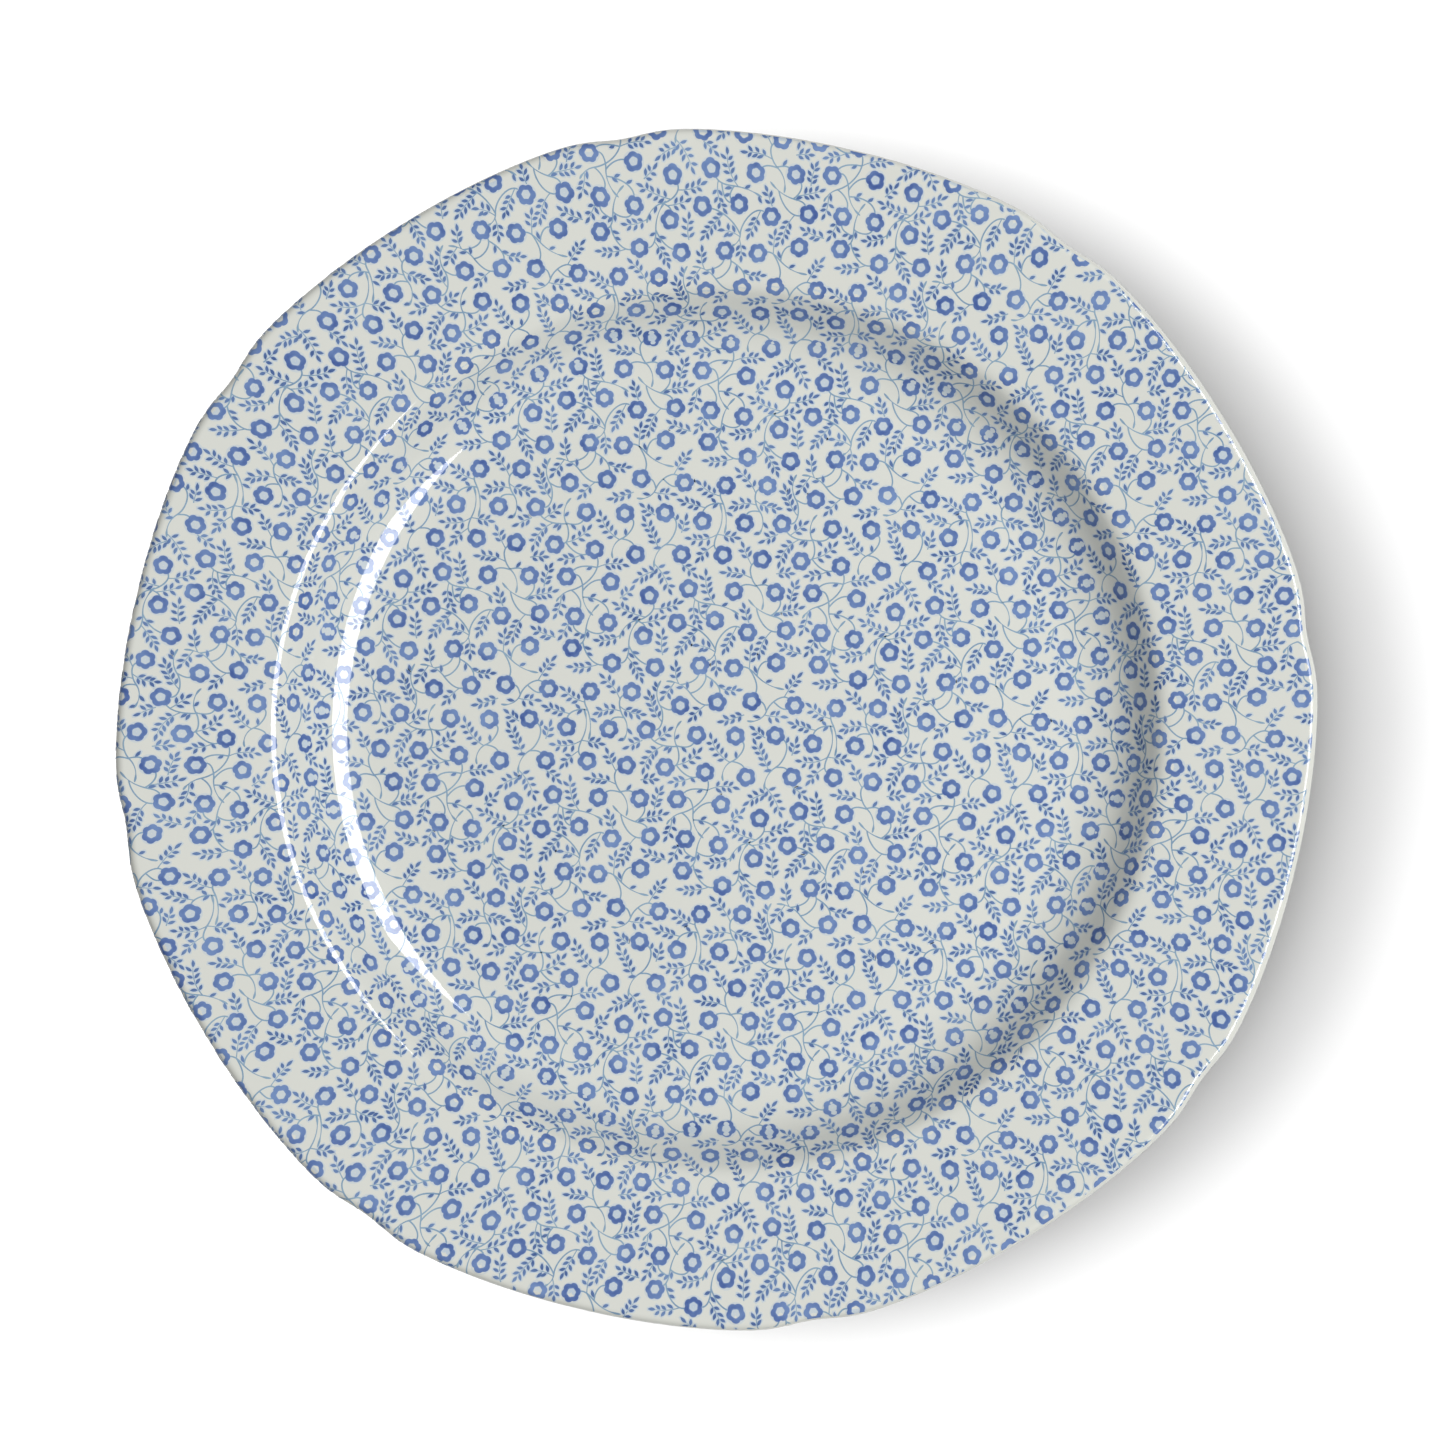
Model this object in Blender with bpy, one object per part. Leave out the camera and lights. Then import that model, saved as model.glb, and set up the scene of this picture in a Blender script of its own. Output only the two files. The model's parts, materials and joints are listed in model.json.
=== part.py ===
"""A china dinner plate, made as the potter makes it: one turned and fired body with its foot ring,
a printed sheet laid over its face, and two coats of glaze that leave the foot ring bare.
Metres, +Z up. The origin is the middle of the plane that the foot ring stands on."""

import math

import bmesh
import bpy

# The face, from the middle outwards: flat well, the verge's slow hollow and its tighter curve, its
# straight, the shoulder and the rim.
WELL_RADIUS = 0.0785
HOLLOW_CURVE = 0.0228
HOLLOW_TURN = math.radians(23)
VERGE_CURVE = 0.0145
VERGE_STEEPEST = math.radians(52)
VERGE_STRAIGHT = 0.0058
SHOULDER_CURVE = 0.0055
RIM_SLOPE = math.radians(10)

# The lip is a wide roll on top and a tight roll underneath.
LIP_TOP_CURVE = 0.0020
LIP_TOP_TURN = math.radians(55)
LIP_UNDER_CURVE = 0.0012

# The outline: eight soft lobes, each pair meeting in a swelling with a small dip in it.
LOBES = 8
LOBE_TURN = math.radians(9.2)
EDGE_RADIUS = 0.13155
SWELLING = 0.0019
SWELLING_WIDTH = math.radians(12.5)
DIP = 0.0012
DIP_WIDTH = math.radians(3.2)
LOBES_START_RADIUS = 0.112
LOBES_FULL_RADIUS = 0.129

# The well, the verge and the foot ring sit this far towards +X of the outline's middle.
WELL_OFF_MIDDLE = 0.0009

# The wall and the foot ring under it.
WELL_THICKNESS = 0.0046
FOOT_HEIGHT = 0.0027
FOOT_OUTER_RADIUS = 0.0790
FOOT_INNER_RADIUS = 0.0750
FOOT_TAPER = 0.0003
FOOT_EDGE_WIDTH = 0.0009
FOOT_EDGE_HEIGHT = 0.0003
GLAZE_LINE = 0.0009

# The layers, from the outside in, with the clearance that lies between one solid and the next.
GLAZE = 0.00030
PRINT = 0.00008
CLEARANCE = 0.00005

# Colours, as linear light.
BISCUIT = (0.80, 0.76, 0.68)
COBALT = (0.08, 0.14, 0.42)
CHINA_WHITE = (0.70, 0.72, 0.69)

# Flats along the outline, and steps along each curve of the profile.
COLUMNS = 64
HOLLOW_STEPS = 2
VERGE_STEPS = 3
SHOULDER_STEPS = 3
LIP_TOP_STEPS = 3
LIP_UNDER_STEPS = 4

SMOOTH_UP_TO = math.radians(40)
WELD = 0.000001

WELL_HEIGHT = FOOT_HEIGHT + WELL_THICKNESS
LIP_THICKNESS = (
    LIP_TOP_CURVE * (1 - math.cos(LIP_TOP_TURN))
    + LIP_UNDER_CURVE * (1 + math.cos(LIP_TOP_TURN))
)


def arc(path, curve, turn, steps):
    """Carries a path of (radius, height, heading) on round an arc; a positive turn bends upwards."""
    for _ in range(steps):
        radius, height, heading = path[-1]
        step = turn / steps
        chord = 2 * curve * math.sin(abs(step) / 2)
        along = heading + step / 2
        path.append(
            (radius + chord * math.cos(along), height + chord * math.sin(along), heading + step)
        )


def line(path, length):
    """Carries a path straight on."""
    radius, height, heading = path[-1]
    path.append((radius + length * math.cos(heading), height + length * math.sin(heading), heading))


def face_path():
    """The glazed face from the axis to where the lip begins to roll."""
    path = [(0.0, WELL_HEIGHT, 0.0), (WELL_RADIUS, WELL_HEIGHT, 0.0)]
    arc(path, HOLLOW_CURVE, HOLLOW_TURN, HOLLOW_STEPS)
    arc(path, VERGE_CURVE, VERGE_STEEPEST - HOLLOW_TURN, VERGE_STEPS)
    line(path, VERGE_STRAIGHT)
    arc(path, SHOULDER_CURVE, RIM_SLOPE - VERGE_STEEPEST, SHOULDER_STEPS)
    roll_width = (
        LIP_TOP_CURVE * (math.sin(RIM_SLOPE) + math.sin(LIP_TOP_TURN - RIM_SLOPE))
        + LIP_UNDER_CURVE * (1 - math.sin(LIP_TOP_TURN - RIM_SLOPE))
    )
    rim_end = EDGE_RADIUS - roll_width
    for radius in (LOBES_START_RADIUS, rim_end):
        line(path, (radius - path[-1][0]) / math.cos(RIM_SLOPE))
    return path


def lip_path(start):
    """The lip, from the rim's end over the top roll and the tight roll below it."""
    path = [start]
    arc(path, LIP_TOP_CURVE, -LIP_TOP_TURN, LIP_TOP_STEPS)
    arc(path, LIP_UNDER_CURVE, LIP_TOP_TURN - math.pi, LIP_UNDER_STEPS)
    return path[1:]


def inset(path, depth):
    """The path moved under its own surface by a depth, as (radius, height) points."""
    return [
        (radius + depth * math.sin(heading), height - depth * math.cos(heading))
        for radius, height, heading in path
    ]


def back_path(face):
    """The glazed back from the rim to the foot ring: the face moved down by the wall's thickness."""
    path = []
    for radius, height, heading in reversed(face):
        share = (radius - WELL_RADIUS) / (EDGE_RADIUS - WELL_RADIUS)
        thickness = WELL_THICKNESS + share * (LIP_THICKNESS - WELL_THICKNESS)
        back = (radius + thickness * math.sin(heading), height - thickness * math.cos(heading))
        if back[0] < FOOT_OUTER_RADIUS + FOOT_TAPER:
            break
        path.append((*back, heading + math.pi))
    return path


def foot_side(depth, height):
    """A point at a depth under the foot ring's outer side, which leans in towards its bottom."""
    lean = FOOT_TAPER * (1 - height / FOOT_HEIGHT)
    return (FOOT_OUTER_RADIUS - depth - lean, height)


def lobe(angle):
    """How far the outline stands out past EDGE_RADIUS at an angle round the plate."""
    pitch = math.tau / LOBES
    past = (angle - LOBE_TURN + pitch / 2) % pitch - pitch / 2
    swelling = SWELLING * math.exp(-((past / SWELLING_WIDTH) ** 2))
    return swelling - DIP * math.exp(-((past / DIP_WIDTH) ** 2))


def material(name, colour, roughness):
    """A Principled finish for one sub-part."""
    finish = bpy.data.materials.new(name)
    finish.use_nodes = True
    shader = finish.node_tree.nodes["Principled BSDF"]
    shader.inputs["Base Color"].default_value = (*colour, 1)
    shader.inputs["Roughness"].default_value = roughness
    finish.diffuse_color = (*colour, 1)
    return finish


def turned(name, loop, finish, plate):
    """One closed body turned from a loop that starts and ends on the axis, top side first."""
    bm = bmesh.new()
    corners = [
        bm.verts.new((radius * math.cos(LOBE_TURN), radius * math.sin(LOBE_TURN), height))
        for radius, height in loop
    ]
    edges = [bm.edges.new(pair) for pair in zip(corners, corners[1:])]
    bmesh.ops.spin(
        bm, geom=corners + edges, cent=(0, 0, 0), axis=(0, 0, 1), angle=math.tau, steps=COLUMNS
    )
    bmesh.ops.remove_doubles(bm, verts=bm.verts, dist=WELD)
    bmesh.ops.recalc_face_normals(bm, faces=bm.faces)
    for corner in bm.verts:
        radius = math.hypot(corner.co.x, corner.co.y)
        share = (radius - LOBES_START_RADIUS) / (LOBES_FULL_RADIUS - LOBES_START_RADIUS)
        share = min(max(share, 0), 1)
        ease = share * share * (3 - 2 * share)
        if ease > 0:
            moved = ease * lobe(math.atan2(corner.co.y, corner.co.x))
            corner.co.x *= 1 + moved / radius
            corner.co.y *= 1 + moved / radius
            corner.co.z += moved * math.tan(RIM_SLOPE)
        corner.co.x += (1 - ease) * WELL_OFF_MIDDLE
    bmesh.ops.triangulate(bm, faces=bm.faces, quad_method="FIXED")
    mesh = bpy.data.meshes.new(name)
    bm.to_mesh(mesh)
    bm.free()
    mesh.shade_smooth()
    mesh.set_sharp_from_angle(angle=SMOOTH_UP_TO)
    mesh.materials.append(finish)
    piece = bpy.data.objects.new(name, mesh)
    bpy.context.collection.objects.link(piece)
    piece.parent = plate
    return piece


for old in list(bpy.data.objects):
    bpy.data.objects.remove(old)

plate = bpy.data.objects.new("plate", None)
bpy.context.collection.objects.link(plate)

face = face_path()
lip = lip_path(face[-1])
back = back_path(face)
lip_top = lip[:LIP_TOP_STEPS]
lip_under = lip[LIP_TOP_STEPS:]
print_top = GLAZE + CLEARANCE
print_bottom = print_top + PRINT
body_face = print_bottom + CLEARANCE
body_back = GLAZE + CLEARANCE


# The fired body: face, lip and back under the glaze, and the foot ring with its bare flat bottom.
body_loop = inset(face + lip_top, body_face) + inset(lip_under + back, body_back)
body_loop += [
    foot_side(body_back, FOOT_HEIGHT + body_back),
    foot_side(body_back, FOOT_EDGE_HEIGHT),
    (FOOT_OUTER_RADIUS - body_back - FOOT_EDGE_WIDTH, 0.0),
    (FOOT_INNER_RADIUS + body_back + FOOT_EDGE_WIDTH, 0.0),
    (FOOT_INNER_RADIUS + body_back, FOOT_EDGE_HEIGHT),
    (FOOT_INNER_RADIUS + body_back - FOOT_TAPER, FOOT_HEIGHT + body_back),
    (0.0, FOOT_HEIGHT + body_back),
]
turned("fired_body", body_loop, material("biscuit", BISCUIT, 0.75), plate)

# The printed sheet: a thin film over the whole face, trimmed part of the way round the lip.
sheet = face + lip_top[:-1]
sheet_loop = inset(sheet, print_top) + list(reversed(inset(sheet, print_bottom)))
turned("printed_sheet", sheet_loop, material("blue_print", COBALT, 0.15), plate)

# The outside coat of glaze: over the face, the lip and the back, down the foot ring's outer side.
coat = face + lip + back
outside = inset(coat, 0.0) + [foot_side(0.0, FOOT_HEIGHT), foot_side(0.0, GLAZE_LINE)]
inside = inset(coat, GLAZE)
inside += [foot_side(GLAZE, FOOT_HEIGHT + GLAZE), foot_side(GLAZE, GLAZE_LINE)]
coat_loop = outside + list(reversed(inside))
turned("outside_glaze", coat_loop, material("glaze", CHINA_WHITE, 0.08), plate)

# The underside coat: the round of glaze inside the foot ring.
underside_loop = [
    (0.0, FOOT_HEIGHT + GLAZE),
    (FOOT_INNER_RADIUS - FOOT_TAPER, FOOT_HEIGHT + GLAZE),
    (FOOT_INNER_RADIUS, GLAZE_LINE),
    (FOOT_INNER_RADIUS - GLAZE, GLAZE_LINE),
    (FOOT_INNER_RADIUS - FOOT_TAPER - GLAZE, FOOT_HEIGHT),
    (0.0, FOOT_HEIGHT),
]
turned("underside_glaze", underside_loop, material("glaze_beneath", CHINA_WHITE, 0.10), plate)
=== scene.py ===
import json
import math

import bpy
import numpy as np
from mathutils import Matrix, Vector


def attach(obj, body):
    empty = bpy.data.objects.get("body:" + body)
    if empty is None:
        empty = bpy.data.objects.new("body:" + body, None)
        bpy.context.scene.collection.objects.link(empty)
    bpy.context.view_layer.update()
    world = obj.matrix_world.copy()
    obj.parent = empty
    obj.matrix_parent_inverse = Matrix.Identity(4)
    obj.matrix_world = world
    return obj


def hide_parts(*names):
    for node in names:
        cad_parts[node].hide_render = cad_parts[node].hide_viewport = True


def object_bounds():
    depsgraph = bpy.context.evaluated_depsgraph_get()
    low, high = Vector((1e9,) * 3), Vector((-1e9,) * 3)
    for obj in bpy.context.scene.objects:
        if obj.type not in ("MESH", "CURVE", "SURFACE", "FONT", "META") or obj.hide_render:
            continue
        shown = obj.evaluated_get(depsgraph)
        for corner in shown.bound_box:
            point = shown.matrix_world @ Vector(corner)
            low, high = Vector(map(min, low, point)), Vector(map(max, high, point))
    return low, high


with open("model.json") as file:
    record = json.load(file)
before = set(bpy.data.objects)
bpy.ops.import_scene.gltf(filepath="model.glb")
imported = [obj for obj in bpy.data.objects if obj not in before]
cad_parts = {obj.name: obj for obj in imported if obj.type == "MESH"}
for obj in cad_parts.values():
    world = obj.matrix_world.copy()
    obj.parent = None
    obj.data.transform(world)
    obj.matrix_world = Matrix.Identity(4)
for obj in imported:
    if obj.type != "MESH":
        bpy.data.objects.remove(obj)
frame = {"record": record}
cad_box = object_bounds()


# The fired body. White earthenware clay, turned over a mould that shapes its face, while a tool
# shapes the back and the foot ring. It is fired before it is printed, and all that shows of it
# in the end is the bare ring that it stands on.
well_face = next(mount for mount in frame["record"]["mounts"] if mount["name"] == "well_face")
WELL_HEIGHT = well_face["pos_m"][2]
WELL_RADIUS = 0.0785
HOLLOW_CURVE = 0.0228
HOLLOW_TURN = math.radians(23)
VERGE_CURVE = 0.0145
VERGE_STEEPEST = math.radians(52)
VERGE_STRAIGHT = 0.0058
SHOULDER_CURVE = 0.0055
RIM_SLOPE = math.radians(10)
LIP_TOP_CURVE = 0.0020
LIP_TOP_TURN = math.radians(55)
LIP_UNDER_CURVE = 0.0012
BODY_SOFTNESS = 0.0012
LIP_SOFTNESS = 0.0003

EDGE_RADIUS = 0.13155
LOBES = 8
LOBE_TURN = math.radians(9.2)
SWELLING = 0.0019
SWELLING_WIDTH = math.radians(12.5)
DIP = 0.0012
DIP_WIDTH = math.radians(3.2)
LOBES_START_RADIUS = 0.112
LOBES_FULL_RADIUS = 0.129
WELL_OFF_MIDDLE = 0.0009

WELL_THICKNESS = 0.0046
FOOT_HEIGHT = WELL_HEIGHT - WELL_THICKNESS
FOOT_OUTER_RADIUS = 0.0790
FOOT_INNER_RADIUS = 0.0750
FOOT_TAPER = 0.0003
FOOT_EDGE = 0.0009
FOOT_FILLET = 0.0011
BODY_DEPTH = 0.00035

PROFILE_STEP = 0.00005
SOFTENING_NARROWS_OVER = 4 * BODY_SOFTNESS
SOFTENING_SAMPLES = 9
ROUNDING_STEPS = 6
BODY_RING_GAP = 0.004
BODY_RING_TURN = math.radians(5)
BACK_RINGS = 40
BACK_STARTS_PAST_WELL = 0.0035
BODY_COLUMNS = 240
SHARPEST_SMOOTH_EDGE = math.radians(35)

MOTTLE_LOW = 0.3
MOTTLE_HIGH = 0.7
CLAY = (0.74, 0.69, 0.60, 1)
PALE_CLAY = (0.80, 0.76, 0.68, 1)
RUBBED_CLAY = (0.62, 0.58, 0.51, 1)
CLAY_CLOUD = 0.004
CLAY_RUB = 0.0009
CLAY_GRAIN = 0.0003
CLAY_GRAIN_DEPTH = 0.00005
CLAY_ROUGHNESS = 0.78


def face_profile(rim_run):
    """The face's run from the middle, its slope, radius and height there, for a rim of some length.
    Each bend comes on gently: the slope is a mean over a short reach on both sides."""
    stretches = (
        (WELL_RADIUS, 0.0),
        (HOLLOW_CURVE * HOLLOW_TURN, HOLLOW_TURN),
        (VERGE_CURVE * (VERGE_STEEPEST - HOLLOW_TURN), VERGE_STEEPEST - HOLLOW_TURN),
        (VERGE_STRAIGHT, 0.0),
        (SHOULDER_CURVE * (VERGE_STEEPEST - RIM_SLOPE), RIM_SLOPE - VERGE_STEEPEST),
        (rim_run, 0.0),
        (LIP_TOP_CURVE * LIP_TOP_TURN, -LIP_TOP_TURN),
        (LIP_UNDER_CURVE * (math.pi - LIP_TOP_TURN), LIP_TOP_TURN - math.pi),
    )
    ends = np.cumsum([0.0] + [length for length, turn in stretches])
    slopes = np.cumsum([0.0] + [turn for length, turn in stretches])
    rim_end = ends[-3]  # the last two stretches are the lip
    run = np.arange(0, ends[-1] + LIP_SOFTNESS, PROFILE_STEP)
    narrowing = (rim_end - SOFTENING_NARROWS_OVER, rim_end)
    reach = np.interp(run, narrowing, (BODY_SOFTNESS, LIP_SOFTNESS))
    shares = np.linspace(-1, 1, SOFTENING_SAMPLES)
    slope = np.mean([np.interp(run + reach * share, ends, slopes) for share in shares], 0)
    middle = (slope[1:] + slope[:-1]) / 2
    radius = np.concatenate([[0.0], np.cumsum(np.cos(middle) * PROFILE_STEP)])
    height = WELL_HEIGHT + np.concatenate([[0.0], np.cumsum(np.sin(middle) * PROFILE_STEP)])
    return run, slope, radius, height, rim_end


def lobe(angle):
    """How far the outline stands out past the edge's radius: eight swellings with a dip in each."""
    pitch = math.tau / LOBES
    past = (angle - LOBE_TURN + pitch / 2) % pitch - pitch / 2
    return SWELLING * np.exp(-((past / SWELLING_WIDTH) ** 2)) - DIP * np.exp(-((past / DIP_WIDTH) ** 2))


def lobed(radius, height, angle):
    """Places of a round shape once its rim is drawn out along its own slope into the lobes, and all
    that lies inside the rim is set a little off the middle of the outline."""
    share = np.clip((radius - LOBES_START_RADIUS) / (LOBES_FULL_RADIUS - LOBES_START_RADIUS), 0, 1)
    ease = share * share * (3 - 2 * share)
    moved = ease * lobe(angle)
    reach = radius + moved
    aside = (1 - ease) * WELL_OFF_MIDDLE
    tall = height + moved * math.tan(RIM_SLOPE)
    return np.stack([reach * np.cos(angle) + aside, reach * np.sin(angle), tall], -1)


def eased(corners):
    """A path of (radius, height, rounding) with each corner rounded off."""
    places = np.array([corner[:2] for corner in corners])
    path = [places[0]]
    for at in range(1, len(corners) - 1):
        before, here, after = places[at - 1], places[at], places[at + 1]
        rounding = corners[at][2]
        if rounding == 0:
            path.append(here)
            continue
        into = here + (before - here) / np.hypot(*(before - here)) * rounding
        out = here + (after - here) / np.hypot(*(after - here)) * rounding
        for share in np.linspace(0, 1, ROUNDING_STEPS + 1):
            path.append((1 - share) ** 2 * into + 2 * (1 - share) * share * here + share**2 * out)
    path.append(places[-1])
    return np.array(path)


def rings(longest, sharpest):
    """Runs along the face and lip, close together where it bends and further apart where it is flat."""
    need = np.diff(run) / longest + np.abs(np.diff(slope)) / sharpest
    need = np.concatenate([[0.0], np.cumsum(need)])
    return np.interp(np.linspace(0, need[-1], int(need[-1]) + 2), need, run)


def face_at(runs, depth=0.0):
    """Places on or under the face as (radius, height), at some runs from the middle."""
    lean = np.interp(runs, run, slope)
    across = np.interp(runs, run, radius) + depth * np.sin(lean)
    return np.stack([across, np.interp(runs, run, height) - depth * np.cos(lean)], -1)


def back_at(runs, depth=0.0):
    """Places on the back, or at a depth inside it, that lie under some runs of the face."""
    share = (np.interp(runs, run, radius) - WELL_RADIUS) / (EDGE_RADIUS - WELL_RADIUS)
    lip_height = height[np.searchsorted(run, rim_end)] - height[-1]
    lip_thickness = lip_height * math.cos(RIM_SLOPE)
    thickness = WELL_THICKNESS + share * (lip_thickness - WELL_THICKNESS)
    return face_at(runs, thickness - depth)


def turned(name, loop, columns):
    """A closed body turned from a loop of (radius, height) that starts and ends on the axis."""
    angles = np.arange(columns) * math.tau / columns
    wall = lobed(loop[1:-1, 0, None], loop[1:-1, 1, None], angles).reshape(-1, 3)
    points = np.vstack([[WELL_OFF_MIDDLE, 0, loop[0, 1]], wall, [WELL_OFF_MIDDLE, 0, loop[-1, 1]]])
    ring = 1 + np.arange(columns)
    after = np.roll(ring, -1)
    steps = np.arange(len(loop) - 3)[:, None] * columns
    quads = np.stack([ring + steps, ring + steps + columns, after + steps + columns, after + steps], -1)
    top = np.stack([0 * ring, ring, after], -1)
    last = steps[-1] + columns
    under = np.stack([0 * ring + len(points) - 1, after + last, ring + last], -1)
    mesh = bpy.data.meshes.new(name)
    mesh.from_pydata(points.tolist(), [], quads.reshape(-1, 4).tolist() + top.tolist() + under.tolist())
    mesh.shade_smooth()
    mesh.set_sharp_from_angle(angle=SHARPEST_SMOOTH_EDGE)
    return placed(name, mesh)


def placed(name, mesh):
    """A piece of the plate, in its place."""
    piece = bpy.data.objects.new(name, mesh)
    bpy.context.scene.collection.objects.link(piece)
    return piece


def node(finish, kind, **inputs):
    """A node of a finish, with inputs given by name as numbers or as another node's output."""
    made = finish.node_tree.nodes.new(kind)
    for name, value in inputs.items():
        socket = made.inputs[name.replace("_", " ")]
        if isinstance(value, bpy.types.NodeSocket):
            finish.node_tree.links.new(value, socket)
        else:
            socket.default_value = value
    return made


def mottle(finish, size, detail=2.0):
    """Uneven cloud from 0 to 1 whose patches are about a size across."""
    where = node(finish, "ShaderNodeTexCoord").outputs["Object"]
    return node(finish, "ShaderNodeTexNoise", Vector=where, Scale=1 / size, Detail=detail).outputs["Fac"]


def between(finish, share, low, high):
    """A number that goes from low to high as a mottle goes across its middle."""
    spread = node(finish, "ShaderNodeMapRange", Value=share, To_Min=low, To_Max=high)
    spread.inputs["From Min"].default_value = MOTTLE_LOW
    spread.inputs["From Max"].default_value = MOTTLE_HIGH
    return spread.outputs["Result"]


def blended(finish, share, first, second):
    """A colour part of the way from one to another. Blender keeps a colour mix's share at socket 0,
    its two colours at sockets 6 and 7, and its result at socket 2."""
    mix = finish.node_tree.nodes.new("ShaderNodeMix")
    mix.data_type = "RGBA"
    for socket, value in ((mix.inputs[0], share), (mix.inputs[6], first), (mix.inputs[7], second)):
        if isinstance(value, bpy.types.NodeSocket):
            finish.node_tree.links.new(value, socket)
        else:
            socket.default_value = value
    return mix.outputs[2]


def new_finish(name):
    """A new material and its main shader."""
    finish = bpy.data.materials.new(name)
    finish.use_nodes = True
    return finish, finish.node_tree.nodes["Principled BSDF"]


def join(finish, output, shader, name):
    """Leads a node's output to one of the shader's inputs."""
    finish.node_tree.links.new(output, shader.inputs[name])


def bare_clay():
    """Fired clay: matt, cream, with a fine grain and a little grey where the shelf rubbed it."""
    finish, shader = new_finish("bare_clay")
    cream = blended(finish, mottle(finish, CLAY_CLOUD), CLAY, PALE_CLAY)
    worn = between(finish, mottle(finish, CLAY_RUB, 4.0), 0.0, 0.35)
    join(finish, blended(finish, worn, cream, RUBBED_CLAY), shader, "Base Color")
    tooth = mottle(finish, CLAY_GRAIN, 4.0)
    grain = node(finish, "ShaderNodeBump", Height=tooth, Strength=0.5, Distance=CLAY_GRAIN_DEPTH)
    join(finish, grain.outputs["Normal"], shader, "Normal")
    shader.inputs["Roughness"].default_value = CLAY_ROUGHNESS
    return finish


run, slope, radius, height, rim_end = face_profile(0.0)
rim_run = (EDGE_RADIUS - radius.max()) / math.cos(RIM_SLOPE)
run, slope, radius, height, rim_end = face_profile(rim_run)

back_runs = np.linspace(rim_end, WELL_RADIUS + BACK_STARTS_PAST_WELL, BACK_RINGS)
body_edge = face_at(rings(BODY_RING_GAP, BODY_RING_TURN), BODY_DEPTH)
body_back = back_at(back_runs, BODY_DEPTH)
body_foot = eased(
    [
        (*body_back[-1], 0),
        (FOOT_OUTER_RADIUS - BODY_DEPTH, FOOT_HEIGHT + BODY_DEPTH, FOOT_FILLET),
        (FOOT_OUTER_RADIUS - BODY_DEPTH, FOOT_EDGE / 3, FOOT_EDGE / 4),
        (FOOT_OUTER_RADIUS - BODY_DEPTH - FOOT_EDGE, 0.0, FOOT_EDGE / 4),
        (FOOT_INNER_RADIUS + BODY_DEPTH + FOOT_EDGE, 0.0, FOOT_EDGE / 4),
        (FOOT_INNER_RADIUS + BODY_DEPTH, FOOT_EDGE / 3, FOOT_EDGE / 4),
        (FOOT_INNER_RADIUS + BODY_DEPTH - FOOT_TAPER, FOOT_HEIGHT + BODY_DEPTH, FOOT_FILLET),
        (0.0, FOOT_HEIGHT + BODY_DEPTH, 0),
    ]
)
body = turned("turned_body", np.vstack([body_edge, body_back, body_foot[1:]]), BODY_COLUMNS)
body.data.materials.append(bare_clay())
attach(body, "root")
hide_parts("fired_body")


# The printed sheet. A paper-thin transfer of cobalt ink, laid wet over the whole face and trimmed
# by hand where it turns over the lip. One drawing of small flowers, forked stems and leafy sprays
# repeats across it, and each column of repeats lies half a repeat further along than the last.
REPEAT_WIDTH = 0.0480
REPEAT_DROP = 0.0560
SHEET_TURN = 0.46
SHEET_START = (0.0210, 0.0090)
FLOWERS_IN_REPEAT = 37
FLOWER_TIP = 0.00222
FLOWER_NOTCH = 0.00180
FLOWER_EYE = 0.00096
FLOWER_ROOM = 0.00030
FLOWER_PUSH = 0.0042
FLOWER_PUSH_FADES = 1.4
FLOWER_STEP = 0.0026
FLOWER_SHAKE = 0.00055
SPREADING_ROUNDS = 260
PAIRING_DISTANCE = 0.010

STEM_WIDTH = 0.00033
STEM_STEP = 0.00045
STEM_ROOM = 0.00030
STEM_PULL = 0.35
STEM_SINKS_IN = 0.00035
LONE_ARM = (0.005, 0.007)
FORK_SHARE = (0.3, 0.7)
FORK_ASIDE = (0.0015, 0.0055)
ARM_BEND = (0.45, 1.1)
ARM_SWING = (0.3, 2.2)
ARM_LEAVES = 0.45
ARM_ARRIVES = 0.44
BEST_ARM = 0.005
BUD_ARM = (0.0040, 0.0075)
BUD_CURL = (0.9, 1.6)
CLOSE_TO_STEM = 0.0006
FORKS_TRIED = 200
TIES = 13
TIES_TRIED = 6000
TIE_REACH = (0.0045, 0.0085)
TIE_BEND = (0.45, 0.85)

LEAF_LENGTH = 0.00162
LEAF_WIDTH = 0.00074
LEAF_ROOM = 0.00040
LEAF_GAPS = (0.00132, 0.00152)
LEAF_CURL = 0.3
LEAF_TESTS = (0.15, 0.4, 0.7, 1.0)
LEAF_LENGTHS = (0.82, 1.06)
TIP_LEAF_LENGTHS = (0.98, 1.15)
LONE_LEAF_LENGTHS = (0.85, 1.1)
LEAF_SWAY = (0.85, 1.15)
LEAF_FOOT = 0.00018
LEAF_LEAN = (0.5, 1.0)
SPRAY_STEP = 0.0002
SPRAY_CURL = 160
SPRAY_SPREAD = (0.72, 1.02)
SPRAY_LEAN = (0.55, 1.35)
SPRAY_STALK = (0.0010, 0.0018)
LOOSE_STALK = 0.0004
SPRAY_FOOT = 0.00022

FINENESS = 0.0001
FLOWER_HERE = 1
STEM_HERE = 2
LEAF_HERE = 4
ANYTHING = FLOWER_HERE | STEM_HERE | LEAF_HERE
DRAWING_NUMBER = 11

draw = np.random.default_rng(DRAWING_NUMBER)
grid_columns = round(REPEAT_WIDTH / FINENESS)
grid_rows = round(REPEAT_DROP / FINENESS)
drawn = np.zeros((grid_columns, grid_rows), np.uint8)


def cells(points):
    """The cells of the repeat that points fall in, wherever on the sheet they are."""
    column = np.floor(points[..., 0] / FINENESS).astype(int)
    row = np.floor(points[..., 1] / FINENESS).astype(int)
    over = column // grid_columns
    return column - over * grid_columns, (row - over * (grid_rows // 2)) % grid_rows


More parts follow.
